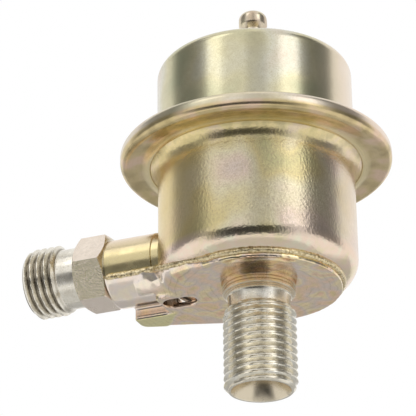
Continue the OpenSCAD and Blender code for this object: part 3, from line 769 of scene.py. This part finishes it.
def plating(name, stops, patch, rough, grain, grain_depth, stretch=(1, 1, 1)):
    """Zinc plating: drifting film colours, small mottles and a fine grain; without rough the caller sets the gloss."""
    paint = Paint(name)
    film = paint.ramp(paint.noise(patch, detail=1.5, stretch=stretch), stops)
    mottle = paint.span(paint.noise(1.1, detail=3), 0.0, 0.22)
    speckle = paint.span(paint.noise(0.28, detail=2), 0.0, 0.3, 0.48, 0.7)
    paint.color(paint.mix(speckle, paint.mix(mottle, film, SOOT), SOOT))
    if rough:
        paint.roughness(paint.span(paint.noise(2.5, detail=3), *rough))
    paint.bump(paint.noise(grain, detail=2), grain_depth)
    return paint


def plated_cap():
    """Zinc on the cap, pinker on its rim; under it bronze films darkened as painted shade, and a gold lip that is
    partly a painted highlight.
    """
    films = [
        (0.30, (0.60, 0.61, 0.40)), (0.45, (0.84, 0.78, 0.52)), (0.56, (0.86, 0.83, 0.68)), (0.70, (0.88, 0.77, 0.64)),
    ]
    stops = [(place, tone(color, 0.78)) for place, color in films]
    paint = plating("zinc_cap", stops, 12, None, 0.5, 0.006)
    paint.tint(paint.times(paint.along(LEFT, -11.0, -18.0), 0.7), PINK)
    rim = paint.outward(AXIS, ORIGIN, 22.5, 25.0)
    paint.roughness(paint.span(rim, 0.21, 0.26, 0, 1))
    paint.tint(paint.times(rim, 0.25), PINK)
    # Painted shade: the films under the rim are laid darker and browner
    under = paint.along(UP, 27.5, 26.9)
    paint.tint(paint.times(under, 0.85), paint.ramp(paint.noise(5, detail=2), UNDER_RIM_FILMS_AND_SHADE))
    # Partly a painted highlight: the lip's inner part is laid a lighter gold
    lip = paint.outward(AXIS, ORIGIN, 22.6, 21.6)
    paint.tint(paint.times(paint.times(under, lip), 0.8), (0.88, 0.75, 0.44))
    paint.bump(paint.times(under, paint.rings(0.9, distortion=0.6)), 0.012)
    return paint.material


def plated_cup():
    """Zinc on the cup, pitted on its wall, with other films in the cove and on the bottom edge, and painted shade in
    the hollow under the web.
    """
    films = [(0.30, OLIVE), (0.44, GOLD), (0.55, PALE), (0.66, PINK), (0.8, LILAC)]
    stops = [(place, tone(color, 0.73)) for place, color in films]
    paint = plating("zinc_cup", stops, 11, None, 0.5, 0.045)
    pits = paint.span(paint.noise(0.36, detail=3), 0.0, 0.3, 0.47, 0.64)
    paint.tint(paint.times(pits, paint.along(UP, 4.5, 7.5)), tone(BRONZE, 0.55))
    low = paint.along(UP, 6.6, 5.2)
    paint.roughness(paint.span(low, 0.25, 0.19, 0, 1))
    paint.tint(paint.times(paint.along(LEFT, 6.0, 17.0), 0.6), (0.86, 0.66, 0.30))
    paint.tint(paint.times(paint.along(LEFT, -11.0, -18.0), 0.6), PINK)
    cove = paint.along(UP, 22.0, 25.5)
    paint.tint(paint.times(cove, 0.7), paint.ramp(paint.noise(3, detail=3), COVE_FILMS))
    for way, film in ((tone(LEFT, -1), (0.84, 0.66, 0.52)), (LEFT, (0.82, 0.65, 0.55))):
        paint.tint(paint.times(paint.along(way, 7.0, 14.0), paint.along(UP, 6.0, 4.5)), film)
    foot = paint.along(UP, 4.4, 3.4)
    paint.tint(paint.times(foot, 0.8), paint.ramp(paint.noise(4, detail=2), FOOT_FILMS))
    # Painted shade: a dark colour in the hollow under the web
    under_web = paint.times(paint.along(UNION_WAY, 14.5, 15.0), paint.along(UP, 5.0, 4.5))
    between = paint.times(paint.along((0, 1, 0), -4.5, -4.0), paint.along((0, -1, 0), -4.5, -4.0))
    paint.tint(paint.times(under_web, between), PAINTED_RECESS_SHADE)
    return paint.material


def plated_plate():
    """Zinc on the plate, with broken tool rings on its lower face and olive on the pad as a painted reflection."""
    stops = [
        (0.32, (0.86, 0.68, 0.36)), (0.42, (0.94, 0.68, 0.50)), (0.51, (0.80, 0.67, 0.60)),
        (0.60, (0.97, 0.82, 0.50)), (0.70, (0.92, 0.62, 0.44)),
    ]
    paint = plating("zinc_plate", stops, 4.5, (0.1, 0.2), 0.6, 0.005)
    paint.tint(paint.times(paint.along(UP, 0.7, 1.8), 0.6), (0.86, 0.79, 0.72))
    # Painted reflection: the pad is laid olive
    pad = paint.along(DOWN, 0.05, 0.2)
    paint.tint(paint.times(pad, 0.85), (0.74, 0.70, 0.36))
    rings = paint.times(paint.rings(1.15, distortion=4.0), paint.along(UP, 1.2, 0.8))
    broken = paint.span(paint.noise(4.0, detail=3), 0.0, 1.0, 0.42, 0.62)
    paint.tint(paint.times(paint.span(rings, 0.0, 0.5, 0.72, 0.98), broken), SOOT)
    paint.bump(rings, 0.05)
    return paint.material


def plated_turned(name, stops, root, axis, centre, thread_way, thread_start):
    """Zinc on a turned piece, with painted shade in the thread's roots and in the bore."""
    paint = plating(name, stops, 6, (0.18, 0.3), 0.3, 0.004)
    # Painted shade: the thread's roots are laid in a darker colour
    low = paint.outward(axis, centre, THREAD_R - 0.45, THREAD_R - THREAD_DEPTH + 0.05)
    outside = paint.outward(axis, centre, CONE_R + 0.05, CONE_R + 0.2)
    on_thread = paint.along(thread_way, thread_start, thread_start + 0.4)
    paint.tint(paint.times(paint.times(low, outside), on_thread), root)
    # Painted shade in the bore
    paint.tint(paint.outward(axis, centre, BORE_R + 0.3, BORE_R + 0.1), PAINTED_RECESS_SHADE)
    return paint


def plated_stud():
    """Zinc on the stud, with a browner film on the collar, and darker and browner inside the pipe cone."""
    stops = [(0.32, SILVER), (0.5, (0.92, 0.87, 0.74)), (0.62, SILVER), (0.78, PALE)]
    # The thread roots' colour passed here is painted shade
    paint = plated_turned("zinc_stud", stops, (0.72, 0.67, 0.56), AXIS, ORIGIN, DOWN, -STUD_RELIEF_Z0)
    paint.tint(paint.times(paint.along(UP, -1.9, -1.3), 0.8), (0.64, 0.53, 0.37))
    # Darker and browner inside the pipe cone
    in_cone = paint.outward(AXIS, ORIGIN, CONE_R + 0.1, CONE_R - 0.1)
    off_bore = paint.outward(AXIS, ORIGIN, BORE_R + 0.1, BORE_R + 0.3)
    paint.tint(paint.times(in_cone, off_bore), (0.66, 0.58, 0.44))
    return paint.material


def plated_union():
    """Zinc on the union, with the shank's film gold, pink on its top and pale gold on its bottom as painted
    reflection, and a grainy olive flat at the hexagon's front whose darker tone is painted shade.
    """
    stops = [(0.32, (0.78, 0.74, 0.66)), (0.5, (0.88, 0.84, 0.75)), (0.62, (0.82, 0.77, 0.68)), (0.78, PALE)]
    # Painted shade for the thread's roots
    root = (0.26, 0.23, 0.18)
    paint = plated_turned("zinc_union", stops, root, UNION_AXIS, UNION_CENTRE, UNION_WAY, UNION_THREAD_X0)
    shank = paint.along(UNION_AXIS, -HEX_X0, 0.2 - HEX_X0)
    paint.tint(paint.times(shank, 0.9), (0.66, 0.55, 0.28))
    # Painted reflection: the shank's top is laid pink and its bottom pale gold
    painted_sheen = paint.times(shank, 0.7)
    paint.tint(paint.times(painted_sheen, paint.along(UP, UNION_Z + 1, UNION_Z + 5)), PINK)
    paint.tint(paint.times(painted_sheen, paint.along(UP, UNION_Z - 2, UNION_Z - 4)), (0.86, 0.77, 0.46))
    way = (0, -cos(pi / 6), -sin(pi / 6))
    flat = HEX_AF / 2 - UNION_Z * sin(pi / 6)
    on_flat = paint.along(way, flat - 0.12, flat - 0.03)
    past_shank = paint.along(UNION_WAY, HEX_X0, HEX_X0 + 0.1)
    on_hex = paint.times(past_shank, paint.along(UNION_WAY, HEX_X1, HEX_X1 - 0.1))
    grain = paint.span(paint.noise(0.3, detail=2), 0.3, 1.0, 0.38, 0.6)
    paint.tint(paint.times(on_hex, 0.5), PINK)
    # Real grain on the hexagon's front flat; its darker olive tone is painted shade
    front = paint.times(on_flat, on_hex)
    paint.tint(paint.times(front, grain), (0.60, 0.55, 0.38))
    paint.bump(paint.times(front, paint.noise(0.24, detail=2)), 0.08)
    return paint.material


def plated_bulb():
    """Zinc on the nipple, mostly bronze."""
    stops = [(0.3, BRONZE), (0.5, (0.7, 0.6, 0.48)), (0.7, PALE)]
    return plating("zinc_bulb", stops, 3, (0.2, 0.3), 0.3, 0.003).material


def braze():
    """Granular brass braze."""
    return plating("braze", BRAZE_FILMS, 0.5, (0.2, 0.34), 0.3, 0.08).material


def bare_steel(name, color):
    """Steel of the inner pieces, with marks drawn out along Z."""
    stops = [(0.35, tone(color, 0.8)), (0.65, color)]
    return plating(name, stops, 2.5, (0.2, 0.34), 0.3, 0.003, stretch=(1, 1, 4)).material


def rubber_cloth():
    """Black rubberised cloth with a fine grain."""
    paint = Paint("rubber_cloth", metallic=0.0)
    stops = [(0.35, (0.03, 0.03, 0.032)), (0.65, (0.06, 0.06, 0.062))]
    paint.color(paint.ramp(paint.noise(0.6, detail=3), stops))
    paint.roughness(paint.span(paint.noise(1.5), 0.6, 0.8))
    paint.bump(paint.noise(0.35, detail=2), 0.03)
    return paint.material


def dress(piece, material):
    """Gives a piece its material."""
    piece.data.materials.clear()
    piece.data.materials.append(material)


def dress_node(name, material):
    """Gives a carried-over CAD node a procedural material."""
    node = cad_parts[name]
    for place in node.material_slots:
        place.material = material


def build():
    """Makes the visible pieces and paints the CAD nodes that stay."""
    dress(make_cap(), plated_cap())
    dress(make_cup(), plated_cup())
    dress(make_nipple(), plated_bulb())
    dress(make_plate(), plated_plate())
    dress(make_stud(), plated_stud())
    dress(make_union(), plated_union())
    gold = braze()
    dress(make_base_bead(), gold)
    for piece in make_union_beads():
        dress(piece, gold)
    dress(make_diaphragm(), rubber_cloth())
    wire = bare_steel("spring_wire", (0.55, 0.55, 0.57))
    dress(make_pressure_spring(), wire)
    steel = bare_steel("bare_steel", (0.62, 0.62, 0.64))
    for name in ("seat_tube", "spring_plate", "valve_holder", "valve_ball", "valve_plate", "valve_retainer"):
        dress_node(name, steel)
    dress_node("ball_spring", wire)


def add_camera():
    """The photograph's camera: it looks up at the part from below."""
    az, rise, roll = radians(CAMERA_AZIMUTH), radians(CAMERA_RISE), radians(CAMERA_ROLL)
    right = Vector((cos(az), sin(az), 0))
    ahead = Vector((-sin(az) * cos(rise), cos(az) * cos(rise), sin(rise)))
    up = right.cross(ahead)
    right, up = right * cos(roll) - up * sin(roll), right * sin(roll) + up * cos(roll)
    middle = IMAGE_PX / 2
    per_px = CAMERA_DISTANCE / FOCAL_PX
    aim = Vector((0, 0, AIM_HEIGHT))
    spot = aim - right * (AIM_PX[0] - middle) * per_px + up * (AIM_PX[1] - middle) * per_px
    spot -= ahead * CAMERA_DISTANCE
    data = bpy.data.cameras.new("camera")
    data.sensor_width = SENSOR_MM
    data.lens = FOCAL_PX * SENSOR_MM / IMAGE_PX
    data.clip_start = 0.01
    camera = bpy.data.objects.new("camera", data)
    turn = Matrix((right, up, -ahead)).transposed().to_4x4()
    camera.matrix_world = Matrix.Translation(spot * MM) @ turn
    bpy.context.scene.collection.objects.link(camera)
    bpy.context.scene.camera = camera


def add_floor():
    """A plain pale floor, well below the part and the camera."""
    reach, height, sides = 0.25, -0.30, 96
    mesh = bpy.data.meshes.new("floor")
    rim = [(reach * cos(2 * pi * i / sides), reach * sin(2 * pi * i / sides), height) for i in range(sides)]
    mesh.from_pydata(rim, [], [tuple(range(sides))])
    floor = bpy.data.objects.new("floor", mesh)
    paint = Paint("floor_paper", metallic=0.0)
    paint.color(paint.ramp(paint.noise(40), [(0.3, (0.86, 0.86, 0.85)), (0.7, (0.9, 0.9, 0.89))]))
    paint.shader.inputs["Roughness"].default_value = 0.8
    mesh.materials.append(paint.material)
    bpy.context.scene.collection.objects.link(floor)


def add_world():
    """A white studio: the camera, metal and glass all see the same white background."""
    world = bpy.data.worlds.new("studio")
    world.use_nodes = True
    bpy.context.scene.world = world
    tree = world.node_tree
    background = tree.nodes["Background"]
    path = tree.nodes.new("ShaderNodeLightPath")
    seen = None
    for ray in ("Is Camera Ray", "Is Glossy Ray", "Is Transmission Ray"):
        if seen is None:
            seen = path.outputs[ray]
            continue
        either = tree.nodes.new("ShaderNodeMath")
        either.operation = "MAXIMUM"
        tree.links.new(seen, either.inputs[0])
        tree.links.new(path.outputs[ray], either.inputs[1])
        seen = either.outputs["Value"]
    shade = tree.nodes.new("ShaderNodeMix")
    shade.data_type = "RGBA"
    shade.inputs[6].default_value = (AMBIENT, AMBIENT, AMBIENT, 1)
    shade.inputs[7].default_value = (1, 1, 1, 1)
    tree.links.new(seen, shade.inputs["Factor"])
    tree.links.new(shade.outputs[2], background.inputs["Color"])


def add_screens():
    """Grey paper screens round the part, paler towards their sides, which the metal shows as darker bands."""
    steps = 40
    az = radians(CAMERA_AZIMUTH)
    toward, right = Vector((sin(az), -cos(az), 0)), Vector((cos(az), sin(az), 0))
    for name, start, end, low, high, level in SCREENS:
        points, shades = [], []
        for i in range(steps + 1):
            angle = radians(start + (end - start) * i / steps)
            foot = (toward * cos(angle) + right * sin(angle)) * SCREEN_REACH_M
            points += [foot + Vector((0, 0, SCREEN_REACH_M * tan(radians(h)))) for h in (low, high)]
            edge = max(0, 1 - min(i, steps - i) / (steps * SOFT_SHARE))
            shades += [level + (SCREEN_EDGE - level) * edge ** 2] * 2
        mesh = bpy.data.meshes.new(name)
        mesh.from_pydata(points, [], [(2 * i, 2 * i + 2, 2 * i + 3, 2 * i + 1) for i in range(steps)])
        layer = mesh.color_attributes.new("shade", "FLOAT_COLOR", "POINT")
        for spot, shade in zip(layer.data, shades):
            spot.color = (shade, shade, shade, 1)
        paint = Paint(name + "_paper", metallic=0.0)
        grey = paint.node("ShaderNodeAttribute", attribute_name="shade").outputs["Color"]
        fleck = paint.ramp(paint.noise(60), [(0.3, (0.95, 0.95, 0.95)), (0.7, (1, 1, 1))])
        paint.color(paint.mix(1.0, grey, fleck, "MULTIPLY"))
        paint.shader.inputs["Roughness"].default_value = 0.9
        mesh.materials.append(paint.material)
        screen = bpy.data.objects.new(name, mesh)
        screen.visible_camera = False
        bpy.context.scene.collection.objects.link(screen)


def add_lamps():
    """Two large soft lamps, high on the left and the right."""
    for name, place, size, power in LAMPS:
        data = bpy.data.lights.new(name, "AREA")
        data.energy = power
        data.size = size
        lamp = bpy.data.objects.new(name, data)
        lamp.location = place
        lamp.rotation_euler = (Vector(LAMP_AIM) - Vector(place)).to_track_quat("-Z", "Y").to_euler()
        bpy.context.scene.collection.objects.link(lamp)


build()
add_camera()
add_floor()
add_world()
add_screens()
add_lamps()
bpy.context.scene.view_settings.view_transform = "Standard"
